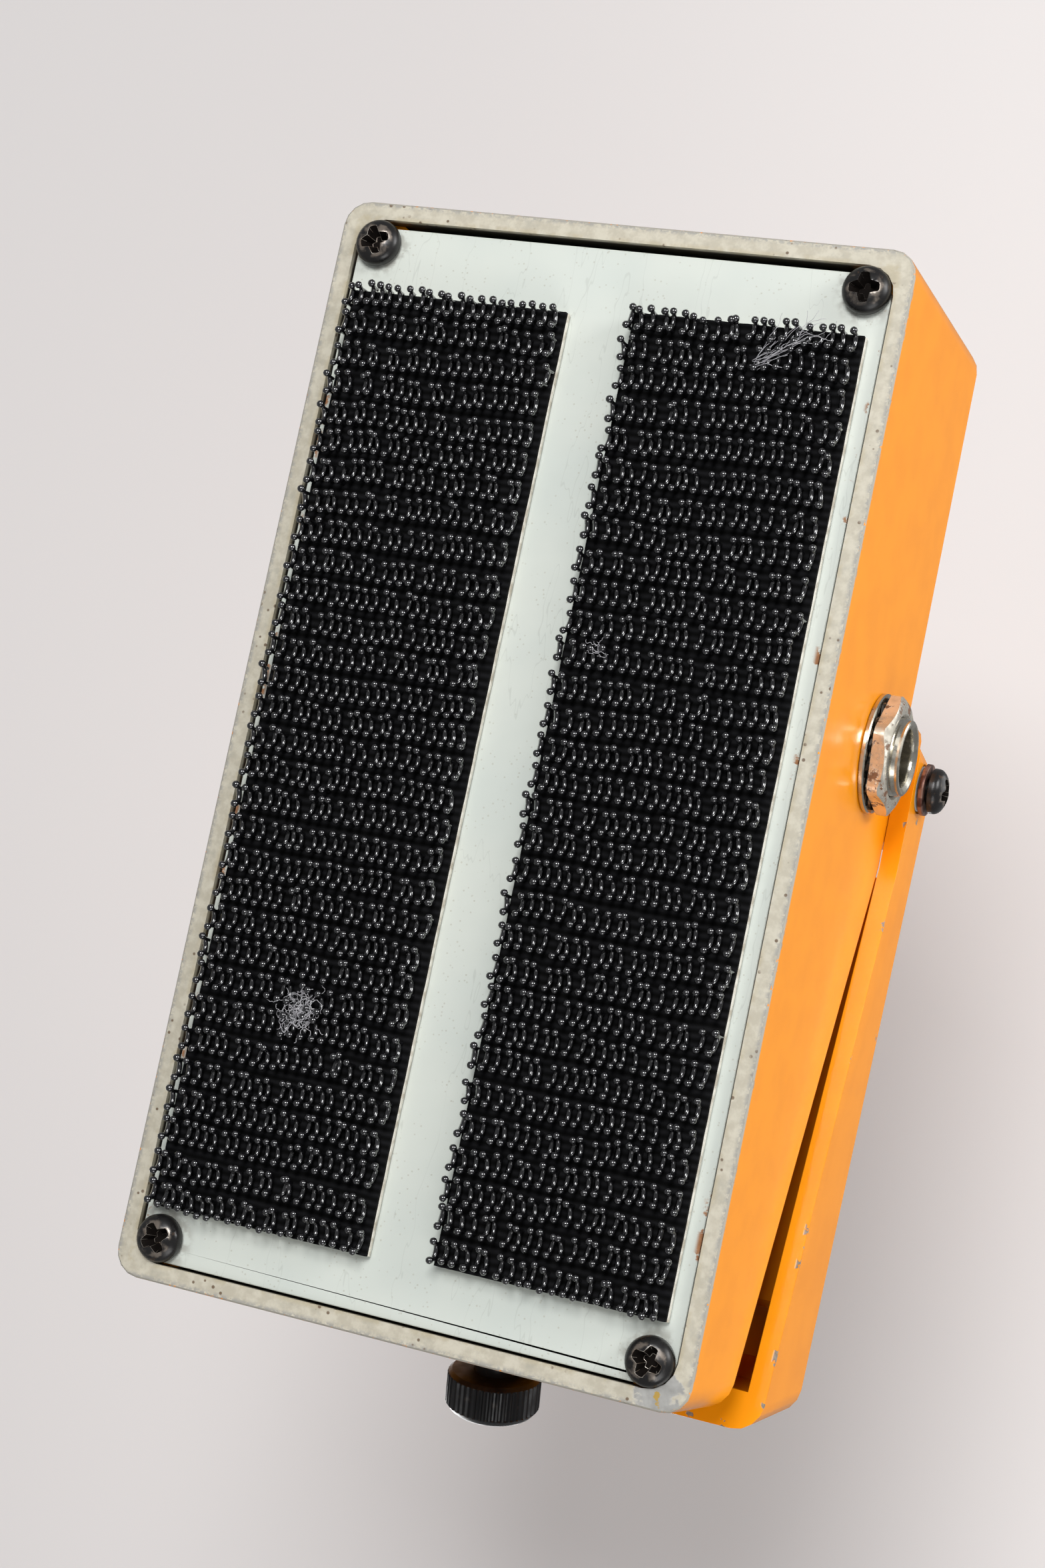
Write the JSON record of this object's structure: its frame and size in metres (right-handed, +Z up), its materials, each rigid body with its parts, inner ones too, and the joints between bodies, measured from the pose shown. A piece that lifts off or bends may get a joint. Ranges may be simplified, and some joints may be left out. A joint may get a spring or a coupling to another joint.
{
  "type": "compact foot effect pedal",
  "caption": "Compact die-cast foot pedal with a hinged sprung treadle, side jacks, panel knobs, a recessed base plate and a knurled release screw.",
  "frame": {"origin": "centre of the overall box, at floor level", "axes": "+Z up; +Y towards the knob panel's end; -Y towards the thumbscrew; +X towards the input jack"},
  "size_m": [0.0796, 0.1354, 0.0587],
  "materials": {
    "orange_enamel": "glossy orange enamel over a zinc casting",
    "grey_painted_steel": "satin pale grey-green paint",
    "black_steel": "black oxide, worn",
    "nickel": "worn nickel plating",
    "dark_steel": "dark spring steel",
    "spring_steel": "bright steel",
    "black_fastener": "black mushroom-head fastener tape",
    "black_rubber": "matte",
    "black_plastic": "satin",
    "white_nylon": "natural nylon",
    "board_green": "glass-epoxy board",
    "grey_sheet": "fibre sheet",
    "lamp_red": "clear red",
    "battery_skin": "printed jacket without lettering",
    "grey_foam": "open foam",
    "lead_red": "insulated lead"
  },
  "bodies": {
    "base": {"base_plate": "grey_painted_steel", "base_screw_1": "black_steel", "base_screw_2": "black_steel", "base_screw_3": "black_steel", "base_screw_4": "black_steel", "battery": "battery_skin", "battery_foam": "grey_foam", "battery_lead_1": "lead_red", "battery_lead_2": "black_plastic", "battery_snap": "black_plastic", "board_screw_1": "black_steel", "board_screw_2": "black_steel", "board_screw_3": "black_steel", "body_shell": "orange_enamel", "coil_spring": "spring_steel", "dc_jack": "black_plastic", "fastener_strip_1": "black_fastener", "fastener_strip_2": "black_fastener", "foot_switch": "black_plastic", "fork_screw": "black_steel", "guide_fork": "spring_steel", "hinge_screw_1": "black_steel", "hinge_screw_2": "black_steel", "hinge_washer_1": "black_steel", "hinge_washer_2": "black_steel", "indicator_lamp": "lamp_red", "input_jack": "nickel", "input_jack_lock_washer": "dark_steel", "input_jack_nut": "nickel", "input_jack_washer": "nickel", "insulating_sheet": "grey_sheet", "lamp_bezel": "black_plastic", "main_board": "board_green", "output_jack": "nickel", "output_jack_lock_washer": "dark_steel", "output_jack_nut": "nickel", "output_jack_washer": "nickel", "pot_1": "nickel", "pot_2": "nickel", "pot_3": "nickel", "pot_nut_1": "nickel", "pot_nut_2": "nickel", "pot_nut_3": "nickel", "rubber_stop_1": "black_rubber", "rubber_stop_2": "black_rubber"},
    "treadle": {"treadle": "orange_enamel", "treadle_pad": "black_rubber", "hinge_bush_1": "white_nylon", "hinge_bush_2": "white_nylon", "switch_pusher": "black_rubber"},
    "thumb_collar": {"thumbscrew_collar": "white_nylon"},
    "thumb_turn": {"thumbscrew": "black_steel"},
    "plunger": {"switch_plunger": "white_nylon"},
    "control_1": {"pot_shaft_1": "nickel", "knob_1": "black_plastic"},
    "control_2": {"pot_shaft_2": "nickel", "knob_2": "black_plastic"},
    "control_3": {"pot_shaft_3": "nickel", "knob_3": "black_plastic"}
  },
  "joints": [
    {"name": "treadle_hinge", "type": "hinge", "parent": "base", "child": "treadle", "pos_m": [0, 0.01508, 0.0415], "axis": [1, 0, 0], "range_deg": [-65, 4.3], "stiffness_Nm_per_rad": 1, "springref_deg": -3.32, "deforming": ["coil_spring"]},
    {"name": "thumbscrew_slide", "type": "slide", "parent": "treadle", "child": "thumb_collar", "axis": [0, -0.9511, 0.309], "range_m": [0, 0.00325]},
    {"name": "thumbscrew_turn", "type": "hinge", "parent": "thumb_collar", "child": "thumb_turn", "pos_m": [-0.0032, -0.06062, 0.0295], "axis": [0, -0.9511, 0.309], "range_deg": [0, 900]},
    {"name": "switch_press", "type": "slide", "parent": "base", "child": "plunger", "axis": [0, 0, -1], "range_m": [0, 0.001], "stiffness_N_per_m": 400, "springref_m": -0.001},
    {"name": "knob_turn_1", "type": "hinge", "parent": "base", "child": "control_1", "pos_m": [-0.0205, 0.04668, 0.0397], "axis": [0, 0, 1], "range_deg": [-150, 150]},
    {"name": "knob_turn_2", "type": "hinge", "parent": "base", "child": "control_2", "pos_m": [0, 0.04668, 0.0397], "axis": [0, 0, 1], "range_deg": [-150, 150]},
    {"name": "knob_turn_3", "type": "hinge", "parent": "base", "child": "control_3", "pos_m": [0.0205, 0.04668, 0.0397], "axis": [0, 0, 1], "range_deg": [-150, 150]}
  ],
  "couplings": [
    {"joint": "thumbscrew_turn", "follows": "thumbscrew_slide", "rad_per_m": 4833.2}
  ]
}
